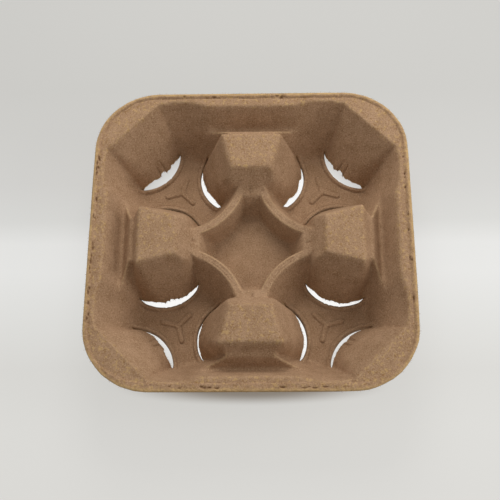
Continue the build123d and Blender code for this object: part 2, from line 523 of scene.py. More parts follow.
@dataclass(frozen=True)
class PocketRelief:
    """Small forms in a pocket: the star on its floor, the curb along each slit and the flutes."""

    rule: CarrierRule
    # Star of three arms: its bevel and the crease round its foot
    star_reach: float = 11.0
    star_width: float = 3.2
    star_height: float = 1.2
    star_bevel: float = 0.3
    star_crease: float = 0.5
    star_crease_place: float = 0.35
    star_crease_width: float = 0.3
    # Curb on the floor's side of a slit: its two bevels and the crease at its foot
    curb_width: float = 2.8
    curb_height: float = 1.7
    curb_inner: Pair = (-0.4, 0.4)
    curb_outer: Pair = (-0.6, 0.1)
    curb_crease: float = 0.5
    curb_crease_place: float = 0.3
    curb_crease_width: float = 0.35
    curb_overlap: float = 6.0
    # Flutes: how much they fan out downwards, their width, and how they start and fade
    flute_spread: float = 0.35
    flute_line: float = 0.5
    flute_start: Pair = (-0.5, 0.5)
    flute_fade: Pair = (0.7, 1.0)
    floor_zone: Pair = (30.0, 33.0)

    def star(self, u: Array, v: Array) -> Array:
        """Height of the three-armed star about a pocket's axis.

        Args:
            u: Positions along X from the axis.
            v: Positions along Y from it.

        Returns:
            Heights over the floor, negative in the crease round the star.
        """
        near = np.full_like(u, np.inf)
        for finger in self.rule.fingers:
            a, b = turned(u, v, -(finger.turn + 180))
            along = np.clip(a, 0, self.star_reach)
            near = np.minimum(near, np.hypot(a - along, b))
        edge = near - self.star_width / 2
        crease = self.star_crease * bead(edge, self.star_crease_place, self.star_crease_width)
        return self.star_height * (1 - ease(-self.star_bevel, self.star_bevel, edge)) - crease

    def finger(self, u: Array, v: Array, finger: Finger) -> Array:
        """Height of the curb and depth of the fine flutes of one finger.

        Args:
            u: Positions along X from the pocket's axis.
            v: Positions along Y from it.
            finger: The finger.

        Returns:
            Heights over the skin, negative in the flutes.
        """
        fu, fv = turned(u, v, -finger.turn)
        angle = np.abs(self.rule.slit_angle(fu, fv))
        out = np.hypot(fu - self.rule.finger_axis, fv) - self.rule.finger_foot_radius
        start, end = (self.curb_width + edge for edge in self.curb_outer)
        band = ease(*self.curb_inner, out) * (1 - ease(start, end, out))
        foot = bead(out - self.curb_width, self.curb_crease_place, self.curb_crease_width)
        ends = 1 - ease(finger.slit, finger.slit + self.curb_overlap, angle)
        curb = (self.curb_height * band - self.curb_crease * foot) * ends
        rise = self.rule.finger_height(fu, fv, finger) - self.rule.floor
        flutes = FLUTES[finger.place]
        share = np.clip(rise / flutes.top, 0, 1)
        deep = np.zeros_like(u)
        for line in flutes.lines:
            away = fv - line * (1 + self.flute_spread * (1 - share))
            deep += flutes.depth * bead(away, 0.0, self.flute_line) * (1 - ease(*self.flute_fade, share))
        return curb - deep * ease(*self.flute_start, rise) * (fu > 0)

    def height(self, u: Array, v: Array) -> Array:
        """Sum of a pocket's small forms.

        Args:
            u: Positions along X from its axis.
            v: Positions along Y from it.

        Returns:
            Heights over the skin.
        """
        near_floor = 1 - ease(*self.floor_zone, np.hypot(u, v))
        total = self.star(u, v)
        for finger in self.rule.fingers:
            total += self.finger(u, v, finger) * near_floor
        return total


@dataclass(frozen=True)
class RidgeRelief:
    """Fine creases along the ridge beside each pocket, and the short slot on each saddle.

    Attributes:
        starts: Where the creases of each quarter start, in degrees about the pocket's axis.
        ends: Where they end.
        fade: Degrees over which they start and end.
        creases: Radius, width and share of the depth of each crease.
        depth: Depth of the deepest.
        slot_place: Distance of a slot from the carrier's middle.
        slot_shift: How far it lies to one side, by turns.
        slot_length: Its length.
        slot_width: Its width.
        slot_soft: Softness of its sides.
        slot_depth: Its depth.
        slot_end: How its ends fade, as shares of half its length.
        slot_side: How its sides fade, as shares of half its width.
    """

    starts: tuple[float, ...] = (-19.0, -14.0, -15.0, -17.0)
    ends: tuple[float, ...] = (16.0, 17.0, 15.0, 14.0)
    fade: float = 3.0
    creases: tuple[tuple[float, float, float], ...] = ((42.6, 0.38, 1.0), (44.3, 0.36, 0.75))
    depth: float = 0.7
    slot_place: float = 38.8
    slot_shift: float = 0.8
    slot_length: float = 4.6
    slot_width: float = 1.1
    slot_soft: float = 0.3
    slot_depth: float = 0.7
    slot_end: Pair = (0.6, 1.0)
    slot_side: Pair = (0.2, 1.0)

    def lines(self, u: Array, v: Array, quarter: Array) -> Array:
        """Depth of the fine creases along the top of the ridge beside each pocket.

        Args:
            u: Positions along X from the pocket's axis.
            v: Positions along Y from it.
            quarter: The quarter of each position.

        Returns:
            One depth for each position.
        """
        away = np.degrees(np.arctan2(v, u)) + 135
        away = (away + 180) % 360 - 180
        start, end = np.take(self.starts, quarter), np.take(self.ends, quarter)
        along = ease(0, self.fade, away - start) * ease(0, self.fade, end - away)
        radius = np.hypot(u, v)
        return self.depth * along * sum(share * bead(radius, place, width)
                                        for place, width, share in self.creases)

    def slots(self, x: Array, y: Array) -> Array:
        """Depth of the short slot on each of the four saddles.

        Args:
            x: Plan positions along X.
            y: Plan positions along Y.

        Returns:
            One depth for each position.
        """
        deep = np.zeros_like(x)
        for index in range(QUARTERS):
            a, b = turned(x, y, -90 * index)
            length = np.abs(a - self.slot_place) / (self.slot_length / 2)
            width = np.abs(b + self.slot_shift * (-1)**index) / (self.slot_width / 2 + self.slot_soft)
            deep += (1 - ease(*self.slot_end, length)) * (1 - ease(*self.slot_side, width))
        return self.slot_depth * deep


@dataclass(frozen=True)
class RimRelief:
    """Small forms of the flange: its rough lip, the pits along it, and the corners' creases."""

    rule: CarrierRule
    # Raised lip, wider along the front edge, with a bevel outside and inside
    lip_width: float = 3.0
    front_lip: float = 2.6
    front_reach: Pair = (88.0, 103.0)
    lip_height: float = 0.95
    lip_outer: Pair = (-0.9, 1.0)
    lip_inner: Pair = (-0.8, 0.5)
    lip_zone: float = 9.0
    lip_wander: tuple[Waver, ...] = (Waver(0.35, 9.0, 31), Waver(0.2, 3.0, 32))
    lip_rough: tuple[Waver, ...] = (Waver(0.3, 2.6, 33), Waver(0.2, 1.1, 34))
    # Crease inside the lip, deepest along the back edge and its left end
    crease_depth: float = 0.6
    crease_place: float = 0.4
    crease_width: float = 0.42
    crease_least: float = 0.3
    crease_more: float = 0.7
    crease_reach: Pair = (60.0, 100.0)
    crease_lean: float = 0.35
    crease_waver: Waver = Waver(0.3, 14.0, 35)
    # Torn pits along each side, counted from the right one anticlockwise
    pit_depth: float = 0.55
    pit_seed: int = 41
    pit_counts: tuple[int, ...] = (9, 5, 22, 12)
    pit_run: float = 62.0
    pit_inset: Pair = (1.8, 3.6)
    pit_length: Pair = (0.8, 2.4)
    pit_width: Pair = (0.4, 0.7)
    pit_edge: Pair = (0.5, 1.1)
    # Crease from each end of a corner's chord to the outer edge, with a swelling beside it
    chord_height: float = 0.4
    chord_end: Pair = (97.0, 64.5)
    chord_lean: float = 0.32
    chord_start: Pair = (95.0, 98.0)
    chord_stop: Pair = (105.5, 107.5)
    chord_crease: float = 0.8
    swelling: float = 0.5
    swelling_place: float = 1.8
    swelling_width: float = 1.2
    # Bead along the chord itself
    bead_share: float = 0.9
    bead_place: float = 45.3
    bead_width: float = 0.7
    bead_ends: Pair = (24.0, 30.0)

    def pits(self, x: Array, y: Array) -> Array:
        """Strength from 0 to 1 of the small torn pits along the lip.

        Args:
            x: Plan positions along X.
            y: Plan positions along Y.

        Returns:
            One strength for each position.
        """
        rng = np.random.default_rng(self.pit_seed)
        strength = np.zeros_like(x)
        for index, count in enumerate(self.pit_counts):
            a, b = turned(x, y, -90 * index)
            for place in np.sort(rng.uniform(-self.pit_run, self.pit_run, count)):
                inset, long = rng.uniform(*self.pit_inset), rng.uniform(*self.pit_length)
                wide = rng.uniform(*self.pit_width)
                gone = np.hypot((b - place) / long, (a - self.rule.side / 2 + inset) / wide)
                strength = np.maximum(strength, 1 - ease(*self.pit_edge, gone))
        return strength

    def lip(self, x: Array, y: Array) -> Array:
        """Height of the rough lip on the flange's outer edge, with the fine crease inside it.

        Args:
            x: Plan positions along X.
            y: Plan positions along Y.

        Returns:
            Heights over the flange, negative in the crease.
        """
        margin = self.rule.margin(x, y)
        wander = sum(layer.over(x, y) for layer in self.lip_wander)
        inner = self.lip_width + self.front_lip * ease(*self.front_reach, -y) + wander
        band = ease(*self.lip_outer, margin) * (1 - ease(*self.lip_inner, margin - inner))
        rough = sum((layer.over(x, y) for layer in self.lip_rough), start=1.0)
        crease = bead(margin - inner, self.crease_place, self.crease_width)
        share = self.crease_least + self.crease_more * ease(*self.crease_reach, y - self.crease_lean * x)
        share = np.maximum(share + self.crease_waver.over(x, y), 0)
        return self.lip_height * band * rough - self.crease_depth * share * crease

    def chord_creases(self, x: Array, y: Array) -> Array:
        """Depth of the crease at each end of a corner's chord, and of the bead along it.

        Args:
            x: Plan positions along X.
            y: Plan positions along Y.

        Returns:
            One depth for each position, negative on the bead and the swellings.
        """
        deep = np.zeros_like(x)
        far, aside = self.chord_end
        for index in range(QUARTERS):
            a, b = turned(x, y, -90 * index)
            for p, q in ((a, b), (b, a)):
                line = (q - aside) + self.chord_lean * (p - far)
                reach = ease(*self.chord_start, p) * (1 - ease(*self.chord_stop, p))
                swelling = self.swelling * bead(line, self.swelling_place, self.swelling_width)
                deep += reach * (bead(line, 0.0, self.chord_crease) - swelling)
            u, v = turned(a - self.rule.cup_centre, b - self.rule.cup_centre, -45)
            chord = bead(u, self.bead_place, self.bead_width)
            deep -= self.bead_share * chord * (1 - ease(*self.bead_ends, np.abs(v)))
        return self.chord_height * deep

    def height(self, x: Array, y: Array) -> Array:
        """Height of the lip, less its pits."""
        near = self.rule.margin(x, y) < self.lip_zone
        return self.lip(x, y) * near - self.pit_depth * self.pits(x, y)


@dataclass(frozen=True)
class PulpRelief:
    """All the small raised and sunk forms on the upper skin, in millimetres."""

    rule: CarrierRule
    pocket: PocketRelief
    ridge: RidgeRelief
    rim: RimRelief

    def height(self, x: Array, y: Array) -> Array:
        """Sum of all the small forms over the plan.

        Args:
            x: Plan positions along X.
            y: Plan positions along Y.

        Returns:
            Heights over the skin.
        """
        u, v, quarter = self.rule.fold(x, y)
        total = self.pocket.height(u, v)
        total -= self.ridge.lines(u, v, quarter) + self.ridge.slots(x, y) + self.rim.chord_creases(x, y)
        total += self.rim.height(x, y)
        return total


@dataclass
class Loop:
    """A closed edge of the moulding: its outline or one slit.

    Attributes:
        upper: Plan points on the upper skin.
        lower: Plan points on the underside, one for each upper point.
        frayed: 1 where the edge is torn, 0 where the mould made it.
        is_hole: Whether the moulding lies outside the loop.
    """

    upper: Array
    lower: Array
    frayed: Array
    is_hole: bool


def signed_area(ring: Array) -> float:
    """Area of a closed ring, positive where it turns anticlockwise."""
    following = np.roll(ring, -1, axis=0)
    return float((ring[:, 0] * following[:, 1] - following[:, 0] * ring[:, 1]).sum() / 2)


def edge_tangents(ring: Array) -> Array:
    """Unit direction of a closed ring at each of its points."""
    tangent = np.roll(ring, -1, axis=0) - np.roll(ring, 1, axis=0)
    return tangent / np.linalg.norm(tangent, axis=1)[:, None]


def is_inside(points: Array, ring: Array) -> Array:
    """Which points lie inside a closed ring.

    Args:
        points: Plan points.
        ring: The ring's corners in order.

    Returns:
        True for each point inside.
    """
    inside = np.zeros(len(points), bool)
    px, py = points[:, 0], points[:, 1]
    for (x0, y0), (x1, y1) in zip(ring, np.roll(ring, -1, axis=0)):
        spans = (y0 > py) != (y1 > py)
        if spans.any():
            at = x0 + (py[spans] - y0) * (x1 - x0) / (y1 - y0)
            inside[np.flatnonzero(spans)[px[spans] < at]] ^= True
    return inside


def distance_to_ring(points: Array, ring: Array) -> Array:
    """Distance of each point from the nearest corner of a closed ring.

    Args:
        points: Plan points.
        ring: The ring's corners.

    Returns:
        One distance for each point.
    """
    best = np.full(len(points), np.inf)
    for x0, y0 in ring:
        np.minimum(best, np.hypot(points[:, 0] - x0, points[:, 1] - y0), out=best)
    return best


@dataclass(frozen=True)
class MouldingEdges:
    """The moulding's closed edges: its frayed outline and twelve torn slits.

    Attributes:
        rule: The rule for the skins.
        outline_step: Spacing of points along the outline, in millimetres.
        outline_inset: How far the frayed outline lies inside the true one.
        outline_slope: How much further in it lies on the underside.
        fray: Unevenness of the outline.
        slit_step: Spacing of points along a slit.
        slit_end_power: How squarely a slit ends, from 2 for an ellipse upwards.
        slit_offset: Distance added along a slit, so that its noise starts clear of 0.
        torn_reach: Share of the slit over which its torn heights are spread.
        torn_smoothing: Points on each side that a torn height is averaged with.
        torn_least: Least height of a torn edge.
        torn_fray: Unevenness of a torn edge.
        torn_lean: Sideways share of the wall's thickness at a torn edge.
        torn_full: Height over the floor from which the torn edge leans fully.
        floor_gap: How far the floor's edge lies inside the finger's foot.
        floor_fray: Unevenness of the floor's edge.
    """

    rule: CarrierRule
    outline_step: float = 0.8
    outline_inset: float = 0.35
    outline_slope: float = 0.35
    fray: tuple[Waver, ...] = (Waver(0.3, 7.0, 51), Waver(0.22, 2.3, 52), Waver(0.12, 1.0, 53))
    slit_step: float = 0.45
    slit_end_power: int = 7
    slit_offset: float = 60.0
    torn_reach: float = 0.93
    torn_smoothing: int = 3
    torn_least: float = 1.2
    torn_fray: tuple[Waver, ...] = (Waver(0.55, 2.4, 0), Waver(0.4, 1.1, 100))
    torn_lean: float = 0.86
    torn_full: float = 3.0
    floor_gap: float = 0.15
    floor_fray: Waver = Waver(0.1, 5.0, 200)

    def outline(self) -> Loop:
        """The frayed outer edge.

        Returns:
            The edge on both skins.
        """
        radius = self.rule.corner_radius
        straight = self.rule.side / 2 - radius
        arc_count = int(radius * math.pi / 2 / self.outline_step)
        arc = np.radians(np.linspace(0, 90, arc_count, endpoint=False))
        flat = np.linspace(straight, -straight, int(2 * straight / self.outline_step), endpoint=False)
        a = np.concatenate([straight + radius * np.cos(arc), flat])
        b = np.concatenate([straight + radius * np.sin(arc), np.full_like(flat, straight + radius)])
        ring = np.concatenate([np.stack(turned(a, b, 90 * index), 1) for index in range(QUARTERS)])
        run = np.arange(len(ring)) * self.outline_step
        out = sum(layer.along(run) for layer in self.fray) - self.outline_inset
        tangent = edge_tangents(ring)
        normal = np.stack([tangent[:, 1], -tangent[:, 0]], 1)
        upper = ring + normal * out[:, None]
        lower = ring + normal * (out - self.outline_slope)[:, None]
        return Loop(upper, lower, np.ones(len(ring)), False)

    def torn_heights(self, angle: Array, run: Array, torn: TornEdge, limit: float) -> Array:
        """Height of a torn edge over the pocket's floor.

        Args:
            angle: Degrees along the slit from its middle.
            run: Distances along the slit.
            torn: The torn edge.
            limit: Half the angle that the slit spans.

        Returns:
            One height for each angle.
        """
        steps = np.linspace(-self.torn_reach, self.torn_reach, len(torn.heights)) * limit
        rise = np.interp(angle, steps, torn.heights)
        window = 2 * self.torn_smoothing + 1
        padded = np.pad(rise, self.torn_smoothing, mode="edge")
        rise = np.convolve(padded, np.ones(window) / window, mode="valid")
        rise += sum(layer.along(run, torn.seed) for layer in self.torn_fray)
        return np.maximum(rise, self.torn_least)

    def reach_at(self, ray: Array, level: Array, finger: Finger) -> Array:
        """Distance along rays from a finger's foot axis at which its surface is at a level.

        Args:
            ray: Unit directions from the foot axis.
            level: The height sought along each.
            finger: The finger.

        Returns:
            One distance for each ray, found by halving.
        """
        radius = self.rule.finger_foot_radius
        near, far = np.full(len(ray), radius / 2), np.full(len(ray), radius)
        for _ in range(HALVINGS):
            middle = (near + far) / 2
            u, v = self.rule.finger_axis + ray[:, 0] * middle, ray[:, 1] * middle
            above = self.rule.finger_height(u, v, finger) > level
            near, far = np.where(above, middle, near), np.where(above, far, middle)
        return near

    def slit(self, quarter: int, index: int) -> Loop:
        """One slit: a moulded edge on the floor's side and a torn edge on the finger's side.

        Args:
            quarter: The pocket, counted from the first quarter.
            index: The finger in it.

        Returns:
            The slit's edges on both skins.
        """
        rule, finger, torn = self.rule, self.rule.fingers[index], TORN_EDGES[quarter, index]
        limit, radius = finger.slit, rule.finger_foot_radius
        count = int(2 * math.radians(limit) * radius / self.slit_step)
        angle = np.linspace(-limit, limit, count)
        run = np.radians(angle) * radius + self.slit_offset
        near_end = np.sqrt(np.maximum(1 - np.abs(angle / limit)**self.slit_end_power, 0))
        rise = self.torn_heights(angle, run, torn, limit) * near_end
        ray = np.stack([-np.cos(np.radians(angle)), np.sin(np.radians(angle))], 1)
        foot = np.array([rule.finger_axis, 0.0])
        finger_side = foot + ray * self.reach_at(ray, rule.floor + rise, finger)[:, None]
        gap = self.floor_gap + self.floor_fray.along(run, torn.seed)
        floor_side = foot + ray * (radius - gap * near_end)[:, None]
        ring = np.concatenate([floor_side[1:-1], finger_side[::-1]])
        moulded = np.zeros(count - 2)
        frayed = np.concatenate([moulded, near_end[::-1]])
        share = np.minimum(1, np.concatenate([moulded, (rise / self.torn_full)[::-1]]))
        push = (rule.wall - rule.torn_thinning) * self.torn_lean * share * frayed
        lower = ring - np.concatenate([ray[1:-1], ray[::-1]]) * push[:, None]
        upper, lower = (self.placed(points, quarter, finger) for points in (ring, lower))
        return Loop(upper, lower, frayed, True)

    def placed(self, points: Array, quarter: int, finger: Finger) -> Array:
        """Points by a finger, given from its pocket's axis, put in the carrier's own frame."""
        u, v = turned(points[:, 0], points[:, 1], finger.turn)
        return np.stack(turned(u + self.rule.cup_centre, v + self.rule.cup_centre, 90 * quarter), 1)

    def build(self) -> list[Loop]:
        """The outline first, then each pocket's slits in order."""
        slits = [self.slit(quarter, index) for quarter, index in sorted(TORN_EDGES)]
        return [self.outline(), *slits]


@dataclass(frozen=True)
class PulpMarks:
    """Where the pulp is torn, coarse or pitted, where painted shade falls in pits, slots and valleys, and
    where edges are paler, partly from wear and partly as a painted highlight, stored for the finish.

    Attributes:
        lip_width: How far in from the outer edge the lip's torn fibre shows.
        lip_share: Its strength at the edge.
        lip_waver: Unevenness of that strength.
        crown: Heights between which the coarse flecks of the crowns start.
        slot_share: How dark the painted shade in a slot on a saddle is beside that in a pit.
        worn_edge_highlight: Bends between which an edge starts to look paler, partly from wear and partly as
            a painted highlight.
        painted_valley_shade: Bends between which a valley starts to get painted shade.
        clear: Distance from the outer edge within which edges get no paler colour and valleys no painted
            shade.
    """

    lip_width: float = 1.6
    lip_share: float = 0.85
    lip_waver: Waver = Waver(0.5, 4.0, 61)
    crown: Pair = (40.5, 43.6)
    slot_share: float = 0.8
    worn_edge_highlight: Pair = (0.25, 1.1)
    painted_valley_shade: Pair = (0.5, 1.7)
    clear: float = 2.0

    def on_top(self, relief: PulpRelief, plan: Array, top: Array) -> dict[str, Array]:
        """Strength of each mark on the upper skin.

        Args:
            relief: Small forms on that skin.
            plan: Plan positions of its points.
            top: Their heights.

        Returns:
            Strengths from 0 to 1, by the mark's name.
        """
        x, y = plan[:, 0], plan[:, 1]
        margin, bend = relief.rule.margin(x, y), relief.rule.bend(x, y)
        lip = bead(margin, 0.0, self.lip_width) * (self.lip_share + self.lip_waver.over(x, y))
        slots = np.clip(relief.ridge.slots(x, y), 0, 1) * self.slot_share
        return {
            "torn": np.clip(lip, 0, 1),
            "crown": ease(*self.crown, top),
            # Painted shade in the lip's pits and the saddles' slots.
            "painted_pit_shade": np.maximum(relief.rim.pits(x, y), slots),
            # Paler on sharp edges: partly worn fibre, partly a painted highlight.
            "worn_edge_highlight": ease(*self.worn_edge_highlight, -bend) * (margin > self.clear),
            # Painted shade in the valleys, strongest where the skin bends most sharply inwards.
            "painted_valley_shade": ease(*self.painted_valley_shade, bend) * (margin > self.clear),
        }


@dataclass
class PulpMoulding:
    """The carrier's moulding: both skins, and the walls between them at its edges.

    Attributes:
        relief: Small forms on its upper skin, with the rule for both skins.
        marks: Where the pulp looks torn, coarse or pitted, where painted shade falls in pits, slots and
            valleys, and where edges are paler, partly from wear and partly as a painted highlight.
        fine: Spacing of mesh points where forms are small, in millimetres.
        coarse: Spacing elsewhere on the upper skin.
        under: Spacing on the underside.
        fine_gap: Least distance of a fine point from an edge, as a share of the spacing.
        coarse_gap: The same for the other points.
        fine_pocket: Radius about a pocket's axis that is fine.
        fine_middle: Half side of the middle square in which the ridge is fine.
        fine_ridge: Radii about a pocket's axis between which it is.
        fine_lip: Width of the fine band along the outer edge.
        fine_front: Its width along the front edge.
        front: Distance of the front edge's band from the carrier's middle.
        outline_zone: Distance from the outer edge within which points are tested against it.
        loops: The edges, once built.
    """

    relief: PulpRelief
    marks: PulpMarks = field(default_factory=PulpMarks)
    fine: float = 0.66
    coarse: float = 1.22
    under: float = 1.9
    fine_gap: float = 0.55
    coarse_gap: float = 0.5
    fine_pocket: float = 30.5
    fine_middle: float = 40.0
    fine_ridge: Pair = (39.0, 49.0)
    fine_lip: float = 4.6
    fine_front: float = 7.4
    front: float = 98.0
    outline_zone: float = 3.0
    loops: list[Loop] = field(default_factory=list)

    def lattice(self, spacing: float) -> Array:
        """Even triangular lattice of points over the carrier's plan.

        Args:
            spacing: Distance between neighbours.

        Returns:
            Plan points.
        """
        half = self.relief.rule.side / 2
        rows = np.arange(-half, half, spacing * math.sqrt(0.75))
        columns = np.arange(-half, half, spacing)
        x, y = np.meshgrid(columns, rows)
        x = x + (np.arange(len(rows)) % 2)[:, None] * spacing / 2
        return np.stack([x.ravel(), y.ravel()], 1)

    def is_fine(self, points: Array) -> Array:
        """Which points lie where the upper skin's forms are small or its walls steep.

        Args:
            points: Plan points.

        Returns:
            True for each such point.
        """
        x, y = points[:, 0], points[:, 1]
        u, v, _ = self.relief.rule.fold(x, y)
        radius = np.hypot(u, v)
        near, far = self.fine_ridge
        ridge = (np.maximum(np.abs(x), np.abs(y)) < self.fine_middle) & (radius > near) & (radius < far)
        lip = self.relief.rule.margin(x, y) < np.where(y < -self.front, self.fine_front, self.fine_lip)
        return (radius < self.fine_pocket) | ridge | lip

    def kept(self, points: Array, lower: bool, gap: float) -> Array:
        """Lattice points that lie on the moulding, clear of its edges.

        Args:
            points: Plan points.
            lower: Whether they are for the underside.
            gap: Least distance from an edge's own points.

        Returns:
            The points that stay.
        """
        for loop in self.loops:
            ring = loop.lower if lower else loop.upper
            low, high = ring.min(axis=0) - gap, ring.max(axis=0) + gap
            if loop.is_hole:
                near = ((points > low) & (points < high)).all(axis=1)
            else:
                near = self.relief.rule.margin(points[:, 0], points[:, 1]) < self.outline_zone
            part = points[near]
            bad = is_inside(part, ring) == loop.is_hole
            bad |= distance_to_ring(part, ring) < gap
            stay = np.ones(len(points), bool)
            stay[np.flatnonzero(near)[bad]] = False
            points = points[stay]
        return points

    def triangles(self, points: Array, lower: bool) -> tuple[Array, Array]:
        """Triangles between the edges and the lattice points.

        Args:
            points: Lattice points inside the moulding.
            lower: Whether to use the underside's edges.

        Returns:
            Plan positions, the edges' points first, and triangles that turn anticlockwise.
        """
        rings = [loop.lower if lower else loop.upper for loop in self.loops]
        edges, holes, start = [], [], 0
        for loop, ring in zip(self.loops, rings):
            count = len(ring)
            edges += [(start + i, start + (i + 1) % count) for i in range(count)]
            if loop.is_hole:
                holes.append((start, count, ring))
            start += count
        plan = np.concatenate(rings + [points])
        corners = [Vector(point) for point in plan.tolist()]
        faces = np.array(delaunay_2d_cdt(corners, edges, [], INSIDE_WITH_HOLES, SAME_POINT, False)[2])
        for first, count, ring in holes:
            within = np.flatnonzero(((faces >= first) & (faces < first + count)).all(axis=1))
            middles = plan[faces[within]].mean(axis=1)
            faces = np.delete(faces, within[is_inside(middles, ring)], axis=0)
        return plan, faces

    def walls(self, below: int) -> list[Array]:
        """Triangles that join the two skins along each edge.

        Args:
            below: Number of the first point of the underside.

        Returns:
            Two lots of triangles for each edge, facing outwards.
        """
        faces, start = [], 0
        for loop in self.loops:
            ring = start + np.arange(len(loop.upper))
            following = np.roll(ring, -1)
            if (signed_area(loop.upper) < 0) != loop.is_hole:
                ring, following = following, ring
            faces.append(np.column_stack([ring, ring + below, following + below]))
            faces.append(np.column_stack([ring, following + below, following]))
            start += len(loop.upper)
        return faces

    def build(self) -> bpy.types.Object:
        """Both skins and the walls between them, as one closed mesh with its marks.

        Returns:
            The moulding's object, in metres.
        """
        rule = self.relief.rule
        self.loops = MouldingEdges(rule).build()
        fine, coarse = self.lattice(self.fine), self.lattice(self.coarse)
        fine, coarse = fine[self.is_fine(fine)], coarse[~self.is_fine(coarse)]
        points = np.concatenate([self.kept(fine, False, self.fine * self.fine_gap),
                                 self.kept(coarse, False, self.coarse * self.coarse_gap)])
        upper, upper_faces = self.triangles(points, False)
        points = self.kept(self.lattice(self.under), True, self.under * self.coarse_gap)
        lower, lower_faces = self.triangles(points, True)
        top = rule.skin(*upper.T) + self.relief.height(*upper.T)
        bottom = rule.skin(*lower.T, rule.thickness(*lower.T))
        vertices = np.concatenate([np.column_stack([upper, top]), np.column_stack([lower, bottom])])
        below = len(upper)
        faces = np.concatenate([upper_faces, lower_faces[:, ::-1] + below, *self.walls(below)])
        body = mesh_object("pulp_moulding", vertices * MM, faces)
        self.mark(body.data, upper, top)
        log.info("pulp_moulding: %d points, %d triangles", len(vertices), len(faces))
        return body

    def mark(self, mesh: bpy.types.Mesh, upper: Array, top: Array) -> None:
        """Stores the marks on the mesh, and the torn one on both sides of each edge.

        Args:
            mesh: The moulding's mesh.
            upper: Plan positions of its upper points.
            top: Their heights.
        """
        frayed = np.concatenate([loop.frayed for loop in self.loops])
        for name, values in self.marks.on_top(self.relief, upper, top).items():
            strength = np.zeros(len(mesh.vertices))
            strength[:len(upper)] = values
            if name == "torn":
                for start in (0, len(upper)):
                    edge = slice(start, start + len(frayed))
                    strength[edge] = np.maximum(strength[edge], frayed)
            layer = mesh.attributes.new(name, "FLOAT", "POINT")
            layer.data.foreach_set("value", strength.astype(np.float32))


def mesh_object(name: str, vertices: Array, faces: Array) -> bpy.types.Object:
    """Object of a smooth mesh at the origin, linked to the scene.

    Args:
        name: Name of the object and its mesh.
        vertices: Positions in metres.
        faces: Triangles that face outwards.

    Returns:
        The new object.
    """
    mesh = bpy.data.meshes.new(name)
    mesh.from_pydata(vertices.tolist(), [], faces.tolist())
    mesh.polygons.foreach_set("use_smooth", np.ones(len(faces), bool))
    mesh.update()
    obj = bpy.data.objects.new(name, mesh)
    bpy.context.scene.collection.objects.link(obj)
    return obj


def add_node(tree: bpy.types.NodeTree, kind: str, settings: dict | None = None,
             inputs: dict | None = None) -> bpy.types.Node:
    """Adds a node to a tree, with its settings and its inputs.

    Args:
        tree: The tree to add to.
        kind: The node's type.
        settings: Values of the node's own properties.
        inputs: A constant or another node's output for each input, by name or number.

    Returns:
        The new node.
    """
    node = tree.nodes.new(kind)
    for name, value in (settings or {}).items():
        setattr(node, name, value)
    for key, value in (inputs or {}).items():
        socket = node.inputs[key]
        if isinstance(value, bpy.types.NodeSocket):
            tree.links.new(value, socket)
        else:
            socket.default_value = value
    return node


def linear(hex_colour: str) -> tuple[float, float, float, float]:
    """Linear colour of an sRGB hex value such as A68668.

    Args:
        hex_colour: Six hex digits.

    Returns:
        Red, green, blue and an alpha of 1.
    """
    parts = [int(hex_colour[i:i + 2], 16) / 255 for i in (0, 2, 4)]
    straight = [p / 12.92 if p <= 0.04045 else ((p + 0.055) / 1.055)**2.4 for p in parts]
    return (*straight, 1.0)


def new_material(name: str) -> bpy.types.Material:
    """An empty material with nodes.

    Args:
        name: Its name.

    Returns:
        The material, whose tree has no nodes yet.
    """
    material = bpy.data.materials.new(name)
    material.use_nodes = True
    material.node_tree.nodes.clear()
    return material


@dataclass(frozen=True)
class PulpLayer:
    """One layer of colour in the pulp.

    Attributes:
        colour: Its sRGB hex colour.
        size: Width of its patches, in millimetres.
        start: Noise level where it starts to show.
        full: Noise level where it is at its full strength.
        strength: Its share of the colour there.
        mark: Name of the moulding's mark that limits it, if any.
    """

    colour: str
    size: float
    start: float
    full: float
    strength: float
    mark: str | None = None


